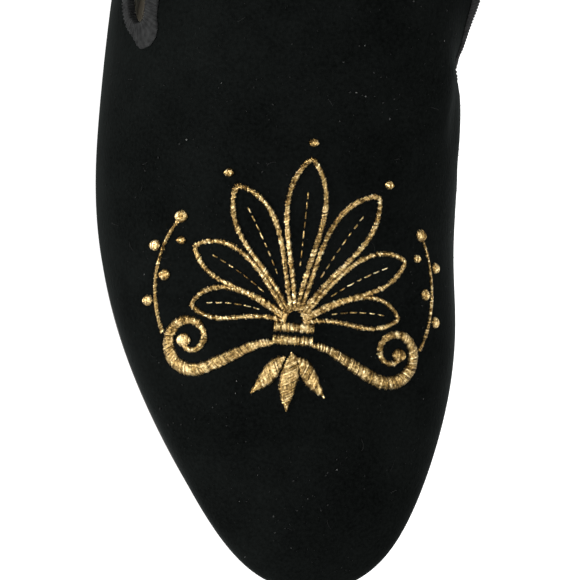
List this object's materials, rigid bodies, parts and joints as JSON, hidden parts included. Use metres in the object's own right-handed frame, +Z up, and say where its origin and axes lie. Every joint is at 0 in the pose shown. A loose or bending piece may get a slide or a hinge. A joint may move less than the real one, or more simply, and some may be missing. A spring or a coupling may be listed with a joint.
{
  "type": "velvet loafer mule",
  "caption": "Backless velvet loafer mule: lasted hollow upper with a wide rounded tongue, taped topline, leather insole, thin outsole with toe spring and a low block heel.",
  "frame": {"origin": "on the floor under the middle of the shoe's bounding box", "axes": "+Y from toe to heel, +X to the inner side of the foot, +Z up"},
  "size_m": [0.088, 0.26, 0.0881],
  "materials": {
    "velvet": "black velvet pile on a leather lining",
    "grosgrain": "black ribbed tape",
    "insole_leather": "smooth beige leather",
    "sole_leather": "waxed sole leather",
    "heel_stack": "dark stacked leather"
  },
  "bodies": {
    "root": {"upper": "velvet", "topline_binding": "grosgrain", "insole": "insole_leather", "outsole": "sole_leather", "heel": "heel_stack"}
  },
  "joints": []
}
